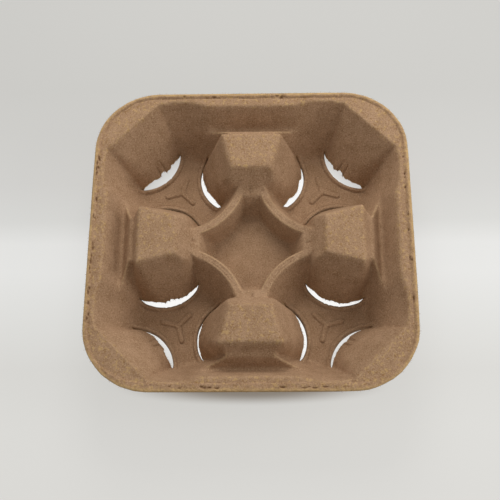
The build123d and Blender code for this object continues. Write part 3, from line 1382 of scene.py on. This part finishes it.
@dataclass(frozen=True)
class MouldedPulp:
    """Unbleached paper pulp, moulded wet on a screen and dried.

    The eye sees a dull, warm brown felt: soft cloudy patches some millimetres wide, a fine
    grain of fibres, scattered darker and yellower flecks that are coarser on the raised
    crowns, pale frayed fibre at torn edges, and no gloss at all. Painted shade darkens its
    valleys, pits and slots, and its sharp edges are paler, partly from wear and partly as a painted
    highlight.
    """

    base: str = "AE8C6D"
    # Real clumps of fibre are about 0.1 mm wide, too fine to show, so the grain is drawn 1 mm wide.
    layers: tuple[PulpLayer, ...] = (
        PulpLayer("9C7B5C", 9.0, 0.36, 0.68, 1.0),
        PulpLayer("C8A785", 1.0, 0.50, 0.68, 0.8),
        PulpLayer("6E4D33", 1.0, 0.49, 0.33, 0.56),
        PulpLayer("C9A66E", 2.6, 0.54, 0.63, 0.52, "crown"),
        PulpLayer("8A6534", 1.9, 0.57, 0.64, 0.5, "crown"),
        # Paler sharp edges: partly worn fibre and partly a painted highlight.
        PulpLayer("D0AE82", 1.6, 0.25, 0.6, 0.6, "worn_edge_highlight"),
        # Painted shade: darker in the skin's valleys and creases, where shade falls.
        PulpLayer("6B482E", 1.6, 0.2, 0.6, 0.36, "painted_valley_shade"),
        PulpLayer("7A5B3C", 2.2, 0.65, 0.74, 0.3),
        PulpLayer("D0AD76", 0.7, 0.22, 0.52, 0.95, "torn"),
        # Painted shade: darker in the lip's pits and the saddles' slots.
        PulpLayer("5F3F26", 0.7, 0.10, 0.30, 0.9, "painted_pit_shade"),
    )
    noise_detail: float = 3.0
    colour_breakup: float = 0.65
    # Width of each layer of the felt's bumps in millimetres, and its rise in metres
    bumps: tuple[Pair, ...] = ((1.1, 0.0014), (0.6, 0.0008))
    bump_breakup: float = 0.7
    bump_strength: float = 0.65
    bump_distance: float = 0.35
    roughness: float = 0.93
    specular: float = 0.2

    def build(self) -> bpy.types.Material:
        """The finish, patterned on Object coordinates and the moulding's own marks.

        Returns:
            The material.
        """
        material = new_material("moulded_pulp")
        tree = material.node_tree
        place = add_node(tree, "ShaderNodeTexCoord").outputs["Object"]
        colour: tuple | bpy.types.NodeSocket = linear(self.base)
        for number, layer in enumerate(self.layers):
            noise = add_node(tree, "ShaderNodeTexNoise", {"noise_dimensions": "4D"}, {
                "Vector": place, "W": float(number), "Scale": 1 / (layer.size * MM),
                "Detail": self.noise_detail, "Roughness": self.colour_breakup}).outputs["Fac"]
            share = add_node(tree, "ShaderNodeMapRange", {"clamp": True}, {
                "Value": noise, "From Min": layer.start, "From Max": layer.full,
                "To Max": layer.strength}).outputs["Result"]
            if layer.mark:
                mark = add_node(tree, "ShaderNodeAttribute", {"attribute_name": layer.mark})
                share = add_node(tree, "ShaderNodeMath", {"operation": "MULTIPLY"}, {
                    0: share, 1: mark.outputs["Fac"]}).outputs[0]
            colour = add_node(tree, "ShaderNodeMix", {"data_type": "RGBA"}, {
                0: share, 6: colour, 7: linear(layer.colour)}).outputs[2]
        height: float | bpy.types.NodeSocket = 0.0
        for size, rise in self.bumps:
            grain = add_node(tree, "ShaderNodeTexNoise", {}, {
                "Vector": place, "Scale": 1 / (size * MM), "Detail": self.noise_detail,
                "Roughness": self.bump_breakup}).outputs["Fac"]
            height = add_node(tree, "ShaderNodeMath", {"operation": "MULTIPLY_ADD"}, {
                0: grain, 1: rise, 2: height}).outputs[0]
        bump = add_node(tree, "ShaderNodeBump", {}, {
            "Strength": self.bump_strength, "Distance": self.bump_distance, "Height": height})
        shader = add_node(tree, "ShaderNodeBsdfPrincipled", {}, {
            "Base Color": colour, "Roughness": self.roughness, "Specular IOR Level": self.specular,
            "Normal": bump.outputs["Normal"]})
        add_node(tree, "ShaderNodeOutputMaterial", {}, {"Surface": shader.outputs[0]})
        return material


@dataclass(frozen=True)
class PaleSweep:
    """Wide flat matte floor, toned as a studio's paper sweep.

    The camera sees its pale tone, brightest on a band level with the carrier's middle, with part of its true
    shadow.
    Under the carrier it sees a painted light, brighter still and with no shadow at all. Its light on the
    carrier is that of plain matte paper.

    Attributes:
        paper: Colour of the paper.
        bands: Places along Y, in metres, and the tone that the camera sees there.
        under: Tone under the carrier, a painted light where the carrier's shadow would fall.
        under_reach: Distances from the middle over which that tone fades, in metres.
        glow: Strength of the tones that the camera sees.
        shadow_share: Share of the paper's true shading that it sees with them.
        shade: Tone of the close shadow under the carrier's front edge.
        shade_place: Its middle, in metres.
        shade_reach: Its half sizes.
        shade_fade: Shares of its half sizes over which it fades.
    """

    paper: str = "DEDDDA"
    bands: tuple[tuple[float, str], ...] = (
        (-0.28, "DAD8D4"), (-0.12, "DDDCD8"), (-0.08, "DAD9D5"), (-0.04, "E2E2DF"), (-0.01, "E8E8E6"),
        (0.012, "E6E6E4"), (0.03, "D6D6D3"), (0.06, "CECDCA"), (0.14, "C3C2BE"), (0.4, "C1C0BC"))
    # Painted light: the floor under the carrier glows brighter than around it, where its shadow would fall.
    under: str = "F2F1EF"
    under_reach: Pair = (0.075, 0.0975)
    glow: float = 1.07
    shadow_share: float = 0.25
    shade: str = "8C8378"
    shade_place: tuple[float, float, float] = (0.0, -0.0925, 0.0)
    shade_reach: tuple[float, float, float] = (0.095, 0.0135, 1.0)
    shade_fade: Pair = (0.35, 1.0)

    def banded(self, tree: bpy.types.NodeTree, place: bpy.types.NodeSocket) -> bpy.types.NodeSocket:
        """Tone of the bands along the floor's own Y.

        Args:
            tree: The material's tree.
            place: Positions on the floor.

        Returns:
            The colour's socket.
        """
        along = add_node(tree, "ShaderNodeSeparateXYZ", {}, {0: place}).outputs["Y"]
        low, high = self.bands[0][0], self.bands[-1][0]
        share = add_node(tree, "ShaderNodeMapRange", {"clamp": True}, {
            "Value": along, "From Min": low, "From Max": high}).outputs["Result"]
        ramp = add_node(tree, "ShaderNodeValToRGB", {}, {"Fac": share})
        stops = ramp.color_ramp.elements
        stops.remove(stops[1])
        stops[0].position, stops[0].color = 0.0, linear(self.bands[0][1])
        for at, colour in self.bands[1:]:
            stops.new((at - low) / (high - low)).color = linear(colour)
        return ramp.outputs["Color"]

    def seen(self, tree: bpy.types.NodeTree, place: bpy.types.NodeSocket,
             below: bpy.types.NodeSocket) -> bpy.types.NodeSocket:
        """Light that the camera sees from the floor.

        Args:
            tree: The material's tree.
            place: Positions on the floor.
            below: 1 under the carrier, 0 away from it.

        Returns:
            The emission's socket.
        """
        tone = add_node(tree, "ShaderNodeMix", {"data_type": "RGBA"}, {
            0: below, 6: self.banded(tree, place), 7: linear(self.under)}).outputs[2]
        about = add_node(tree, "ShaderNodeVectorMath", {"operation": "SUBTRACT"}, {
            0: place, 1: self.shade_place}).outputs[0]
        scaled = add_node(tree, "ShaderNodeVectorMath", {"operation": "DIVIDE"}, {
            0: about, 1: self.shade_reach}).outputs[0]
        beyond = add_node(tree, "ShaderNodeVectorMath", {"operation": "LENGTH"}, {0: scaled})
        dim = add_node(tree, "ShaderNodeMapRange", {"clamp": True, "interpolation_type": "SMOOTHSTEP"}, {
            "Value": beyond.outputs["Value"], "From Min": self.shade_fade[0],
            "From Max": self.shade_fade[1], "To Min": 1.0, "To Max": 0.0}).outputs["Result"]
        tone = add_node(tree, "ShaderNodeMix", {"data_type": "RGBA"}, {
            0: dim, 6: tone, 7: linear(self.shade)}).outputs[2]
        return add_node(tree, "ShaderNodeEmission", {}, {"Color": tone, "Strength": self.glow}).outputs[0]

    def build(self) -> bpy.types.Material:
        """The finish, shaded along the floor's own Y and about its middle.

        Returns:
            The material.
        """
        material = new_material("pale_sweep")
        tree = material.node_tree
        place = add_node(tree, "ShaderNodeTexCoord").outputs["Object"]
        away = add_node(tree, "ShaderNodeVectorMath", {"operation": "LENGTH"}, {0: place}).outputs["Value"]
        below = add_node(tree, "ShaderNodeMapRange", {"clamp": True}, {
            "Value": away, "From Min": self.under_reach[0], "From Max": self.under_reach[1],
            "To Min": 1.0, "To Max": 0.0}).outputs["Result"]
        matte = add_node(tree, "ShaderNodeBsdfDiffuse", {}, {"Color": linear(self.paper)}).outputs[0]
        camera = add_node(tree, "ShaderNodeLightPath").outputs["Is Camera Ray"]
        # Under the carrier the camera sees only the glowing tone, so the painted light there hides the true
        # shadow.
        own = add_node(tree, "ShaderNodeMath", {"operation": "MULTIPLY_ADD"}, {
            0: below, 1: self.shadow_share, 2: 1 - self.shadow_share}).outputs[0]
        share = add_node(tree, "ShaderNodeMath", {"operation": "MULTIPLY"}, {0: camera, 1: own}).outputs[0]
        mixed = add_node(tree, "ShaderNodeMixShader", {}, {
            0: share, 1: matte, 2: self.seen(tree, place, below)}).outputs[0]
        add_node(tree, "ShaderNodeOutputMaterial", {}, {"Surface": mixed})
        return material


def geometry_tree(name: str, numbers: dict[str, float | int]) -> tuple[bpy.types.NodeTree, bpy.types.Node]:
    """Starts a Geometry Nodes tree with named number inputs and a material input.

    Args:
        name: The tree's name.
        numbers: A starting value for each number input, whole numbers for whole inputs.

    Returns:
        The tree and its input node.
    """
    tree = bpy.data.node_groups.new(name, "GeometryNodeTree")
    tree.interface.new_socket(name="Geometry", in_out="INPUT", socket_type="NodeSocketGeometry")
    for label, value in numbers.items():
        kind = "NodeSocketInt" if isinstance(value, int) else "NodeSocketFloat"
        tree.interface.new_socket(name=label, in_out="INPUT", socket_type=kind).default_value = value
    tree.interface.new_socket(name="Material", in_out="INPUT", socket_type="NodeSocketMaterial")
    tree.interface.new_socket(name="Geometry", in_out="OUTPUT", socket_type="NodeSocketGeometry")
    return tree, add_node(tree, "NodeGroupInput")


def finish_tree(tree: bpy.types.NodeTree, source: bpy.types.Node, geometry: bpy.types.NodeSocket) -> None:
    """Ends a tree in Realize Instances and Set Material.

    Args:
        tree: The tree.
        source: Its input node.
        geometry: What it has made.
    """
    real = add_node(tree, "GeometryNodeRealizeInstances", {}, {"Geometry": geometry}).outputs[0]
    dressed = add_node(tree, "GeometryNodeSetMaterial", {}, {
        "Geometry": real, "Material": source.outputs["Material"]}).outputs[0]
    add_node(tree, "NodeGroupOutput", {}, {"Geometry": dressed})


def run_tree(obj: bpy.types.Object, tree: bpy.types.NodeTree, values: dict) -> None:
    """Runs a tree on an object and keeps the result as its plain mesh.

    Args:
        obj: The object whose mesh goes in and is replaced.
        tree: The tree.
        values: A value for each input, by name.
    """
    modifier = obj.modifiers.new(tree.name, "NODES")
    modifier.node_group = tree
    for item in tree.interface.items_tree:
        if item.in_out == "INPUT" and item.name in values:
            modifier[item.identifier] = values[item.name]
    depsgraph = bpy.context.evaluated_depsgraph_get()
    mesh = bpy.data.meshes.new_from_object(obj.evaluated_get(depsgraph), depsgraph=depsgraph)
    obj.modifiers.remove(modifier)
    old, obj.data = obj.data, mesh
    bpy.data.meshes.remove(old)
    mesh.name = obj.name


@dataclass(frozen=True)
class SurfaceGrain:
    """Soft uneven surface that wet pulp keeps from its screen, raised over the moulding.

    Attributes:
        swell_size: Width of the broad unevenness, in millimetres.
        swell_height: How far it moves the surface.
        grain_size: Width of the fine unevenness.
        grain_height: How far that moves the surface.
        detail: Detail of both.
        seed: Fixed seed.
    """

    swell_size: float = 11.0
    swell_height: float = 0.22
    grain_size: float = 2.2
    grain_height: float = 0.13
    detail: float = 2.0
    seed: int = 7

    def tree(self) -> bpy.types.NodeTree:
        """The tree that moves each point along its normal by two layers of noise.

        Returns:
            The tree, with inputs for both layers and the seed.
        """
        tree, source = geometry_tree("pulp_grain", {
            "Swell Scale": 1 / (self.swell_size * MM), "Swell Height": self.swell_height * MM,
            "Grain Scale": 1 / (self.grain_size * MM), "Grain Height": self.grain_height * MM,
            "Seed": self.seed})
        place = add_node(tree, "GeometryNodeInputPosition").outputs[0]
        total: float | bpy.types.NodeSocket = 0.0
        for label in ("Swell", "Grain"):
            noise = add_node(tree, "ShaderNodeTexNoise", {"noise_dimensions": "4D"}, {
                "Vector": place, "W": source.outputs["Seed"], "Scale": source.outputs[label + " Scale"],
                "Detail": self.detail}).outputs[0]
            centred = add_node(tree, "ShaderNodeMath", {"operation": "SUBTRACT"}, {
                0: noise, 1: 0.5}).outputs[0]
            total = add_node(tree, "ShaderNodeMath", {"operation": "MULTIPLY_ADD"}, {
                0: centred, 1: source.outputs[label + " Height"], 2: total}).outputs[0]
        normal = add_node(tree, "GeometryNodeInputNormal").outputs[0]
        move = add_node(tree, "ShaderNodeVectorMath", {"operation": "SCALE"}, {
            0: normal, "Scale": total}).outputs[0]
        moved = add_node(tree, "GeometryNodeSetPosition", {}, {
            "Geometry": source.outputs["Geometry"], "Offset": move}).outputs[0]
        finish_tree(tree, source, moved)
        return tree


@dataclass(frozen=True)
class TornFibres:
    """Short loose fibres that stand out of the torn slits and the rough lip.

    Attributes:
        spacing: Distance between fibres along an edge, in millimetres.
        length: Length of the longest.
        thickness: Thickness at the root, more than a real fibre's, so that it shows.
        tip: Thickness at the tip, as a share of that at the root.
        shortest: Length of the shortest, as a share of the longest.
        path: Ends and handles of a fibre's curve, in units of its length.
        path_points: Points along that curve.
        sides: Sides of a fibre.
        jitter: How far a fibre leans from the edge's own outward direction.
        sag: How far that direction points down.
        torn_from: Torn mark from which an edge has fibres.
        seed: Fixed seed for their turns and lengths.
    """

    spacing: float = 0.9
    length: float = 1.5
    thickness: float = 0.2
    tip: float = 0.3
    shortest: float = 0.25
    path: tuple[tuple[float, float, float], ...] = (
        (0.0, 0.0, -0.3), (0.0, 0.0, 0.2), (0.15, 0.0, 0.6), (0.45, 0.0, 0.8))
    path_points: int = 3
    sides: int = 4
    jitter: float = 0.8
    sag: float = 0.1
    torn_from: float = 0.5
    seed: int = 5

    def fibre(self, tree: bpy.types.NodeTree, source: bpy.types.Node) -> bpy.types.NodeSocket:
        """One bent, tapering fibre that stands along Z, in units of its length.

        Args:
            tree: The tree.
            source: Its input node.

        Returns:
            The fibre's mesh.
        """
        start, start_handle, end_handle, end = self.path
        curve = add_node(tree, "GeometryNodeCurvePrimitiveBezierSegment", {}, {
            "Resolution": self.path_points, "Start": start, "Start Handle": start_handle,
            "End Handle": end_handle, "End": end}).outputs[0]
        along = add_node(tree, "GeometryNodeSplineParameter").outputs["Factor"]
        taper = add_node(tree, "ShaderNodeMapRange", {}, {
            "Value": along, "To Min": 1.0, "To Max": self.tip}).outputs["Result"]
        ratio = add_node(tree, "ShaderNodeMath", {"operation": "DIVIDE"}, {
            0: source.outputs["Thickness"], 1: source.outputs["Length"]}).outputs[0]
        width = add_node(tree, "ShaderNodeMath", {"operation": "MULTIPLY"}, {0: taper, 1: ratio}).outputs[0]
        profile = add_node(tree, "GeometryNodeCurvePrimitiveCircle", {}, {
            "Resolution": self.sides, "Radius": 0.5}).outputs[0]
        return add_node(tree, "GeometryNodeCurveToMesh", {}, {
            "Curve": curve, "Profile Curve": profile, "Scale": width, "Fill Caps": True}).outputs[0]

    def tree(self) -> bpy.types.NodeTree:
        """The tree that sets bent, tapering fibres along the edges.

        Returns:
            The tree, with inputs for the spacing, length, thickness and seed.
        """
        tree, source = geometry_tree("torn_fibres", {
            "Spacing": self.spacing * MM, "Length": self.length * MM, "Thickness": self.thickness * MM,
            "Seed": self.seed})
        seed = source.outputs["Seed"]
        curve = add_node(tree, "GeometryNodeMeshToCurve", {}, {"Mesh": source.outputs["Geometry"]})
        points = add_node(tree, "GeometryNodeCurveToPoints", {"mode": "LENGTH"}, {
            "Curve": curve.outputs[0], "Length": source.outputs["Spacing"]}).outputs[0]
        outward = add_node(tree, "GeometryNodeInputNamedAttribute", {"data_type": "FLOAT_VECTOR"}, {
            "Name": "outward"}).outputs[0]
        jitter = add_node(tree, "FunctionNodeRandomValue", {"data_type": "FLOAT_VECTOR"}, {
            0: (-self.jitter,) * 3, 1: (self.jitter,) * 3, "Seed": seed}).outputs[0]
        aim = add_node(tree, "ShaderNodeVectorMath", {"operation": "ADD"}, {
            0: outward, 1: jitter}).outputs[0]
        turn = add_node(tree, "FunctionNodeAlignRotationToVector", {"axis": "Z"}, {"Vector": aim}).outputs[0]
        size = add_node(tree, "FunctionNodeRandomValue", {"data_type": "FLOAT"}, {
            2: self.shortest, 3: 1.0, "Seed": seed}).outputs[1]
        scale = add_node(tree, "ShaderNodeMath", {"operation": "MULTIPLY"}, {
            0: size, 1: source.outputs["Length"]}).outputs[0]
        placed = add_node(tree, "GeometryNodeInstanceOnPoints", {}, {
            "Points": points, "Instance": self.fibre(tree, source), "Rotation": turn,
            "Scale": scale}).outputs[0]
        finish_tree(tree, source, placed)
        return tree

    def edges(self, body: bpy.types.Object, loops: list[Loop]) -> bpy.types.Object:
        """The moulding's torn edges, each point with the direction that faces out of the pulp.

        Args:
            body: The moulding, whose first points are its upper edges in order.
            loops: Its edges.

        Returns:
            The edges' object, ready for the tree.
        """
        vertices, edges, outward, start = [], [], [], 0
        for loop in loops:
            tangent = edge_tangents(loop.upper)
            side = -1 if (signed_area(loop.upper) < 0) != loop.is_hole else 1
            torn = loop.frayed >= self.torn_from
            for index in np.flatnonzero(torn):
                vertices.append(body.data.vertices[start + int(index)].co[:])
                outward.append((side * tangent[index, 1], -side * tangent[index, 0], -self.sag))
                if index + 1 < len(torn) and torn[index + 1]:
                    edges.append((len(vertices) - 1, len(vertices)))
            start += len(torn)
        mesh = bpy.data.meshes.new("torn_fibres")
        mesh.from_pydata(vertices, edges, [])
        layer = mesh.attributes.new("outward", "FLOAT_VECTOR", "POINT")
        layer.data.foreach_set("vector", np.array(outward, np.float32).ravel())
        obj = bpy.data.objects.new("torn_fibres", mesh)
        bpy.context.scene.collection.objects.link(obj)
        return obj


@dataclass(frozen=True)
class Carrier:
    """The whole carrier: its moulding and the loose fibres at its torn edges."""

    rule: CarrierRule = field(default_factory=CarrierRule)
    finish: MouldedPulp = field(default_factory=MouldedPulp)
    grain: SurfaceGrain = field(default_factory=SurfaceGrain)
    fibres: TornFibres = field(default_factory=TornFibres)

    def build(self) -> None:
        """Builds, dresses and places both pieces."""
        pulp = self.finish.build()
        pocket, rim = PocketRelief(self.rule), RimRelief(self.rule)
        moulding = PulpMoulding(PulpRelief(self.rule, pocket, RidgeRelief(), rim))
        body = moulding.build()
        tufts = self.fibres.edges(body, moulding.loops)
        run_tree(body, self.grain.tree(), {"Material": pulp})
        run_tree(tufts, self.fibres.tree(), {"Material": pulp})
        for piece in (body, tufts):
            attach(piece, "root")
            log.info("%s: %d faces", piece.name, len(piece.data.polygons))
        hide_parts("carrier")


@dataclass(frozen=True)
class Lamp:
    """A square soft lamp that points at the carrier.

    Attributes:
        name: Its name.
        place: Its place, in metres.
        size: Its side.
        power: Its power, in watts.
        target: The point that it faces.
    """

    name: str
    place: tuple[float, float, float]
    size: float
    power: float
    target: tuple[float, float, float] = (0.0, 0.0, 0.02)

    def build(self) -> None:
        """Adds the lamp to the scene."""
        light = bpy.data.lights.new(self.name, "AREA")
        light.shape, light.size, light.energy = "SQUARE", self.size, self.power
        lamp = bpy.data.objects.new(self.name, light)
        lamp.location = self.place
        direction = Vector(self.target) - Vector(self.place)
        lamp.rotation_euler = direction.to_track_quat("-Z", "Y").to_euler()
        bpy.context.scene.collection.objects.link(lamp)


@dataclass(frozen=True)
class Studio:
    """The floor, lamps, sky and camera.

    Attributes:
        image_width: Width of the picture, in pixels.
        focal_pixels: The camera's focal length, in pixels of that width.
        sensor_width: Width of its sensor, in millimetres.
        camera_place: Its place, in metres.
        camera_turn: Its turns about X, Y and Z, in degrees.
        sky: Colour of the sky.
        sky_strength: Strength of the sky.
        lamps: The lamps, one behind the carrier and one to its right.
        floor_half: Half the floor's side, in metres.
        floor_level: Its height, just under the grain of the carrier's feet.
    """

    image_width: float = 500.0
    focal_pixels: float = 963.0
    sensor_width: float = 36.0
    camera_place: tuple[float, float, float] = (0.01418, -0.26013, 0.6260)
    camera_turn: tuple[float, float, float] = (23.0704, 1.3832, 0.1410)
    sky: str = "FFFFFF"
    sky_strength: float = 0.43
    lamps: tuple[Lamp, ...] = (
        Lamp("back_key", (0.0, 0.495, 0.495), 0.35, 2.5),
        Lamp("right_fill", (0.606, 0.0, 0.35), 0.35, 1.4),
    )
    floor_half: float = 4.0
    floor_level: float = -0.25 * MM

    def build(self) -> None:
        """Builds the whole setting."""
        self.camera()
        self.floor()
        for lamp in self.lamps:
            lamp.build()
        world = bpy.data.worlds.new("studio_sky")
        world.use_nodes = True
        background = world.node_tree.nodes["Background"]
        background.inputs["Color"].default_value = linear(self.sky)
        background.inputs["Strength"].default_value = self.sky_strength
        bpy.context.scene.world = world
        bpy.context.scene.view_settings.view_transform = "Standard"
        log.info("studio: %d lamps", len(self.lamps))

    def camera(self) -> None:
        """Camera at the photograph's place, angle and field of view."""
        data = bpy.data.cameras.new("camera")
        data.sensor_fit, data.sensor_width = "HORIZONTAL", self.sensor_width
        data.lens = self.sensor_width * self.focal_pixels / self.image_width
        camera = bpy.data.objects.new("camera", data)
        camera.location = self.camera_place
        camera.rotation_euler = [math.radians(angle) for angle in self.camera_turn]
        bpy.context.scene.collection.objects.link(camera)
        bpy.context.scene.camera = camera

    def floor(self) -> None:
        """Wide matte floor under the carrier."""
        signs = ((-1, -1), (1, -1), (1, 1), (-1, 1))
        corners = np.array([(x * self.floor_half, y * self.floor_half, self.floor_level) for x, y in signs])
        floor = mesh_object("floor", corners, np.array([(0, 1, 2), (0, 2, 3)]))
        floor.data.materials.append(PaleSweep().build())


def main() -> None:
    """Builds the setting and the carrier."""
    Studio().build()
    Carrier().build()
    bpy.context.view_layer.update()


if __name__ == "__main__":
    main()
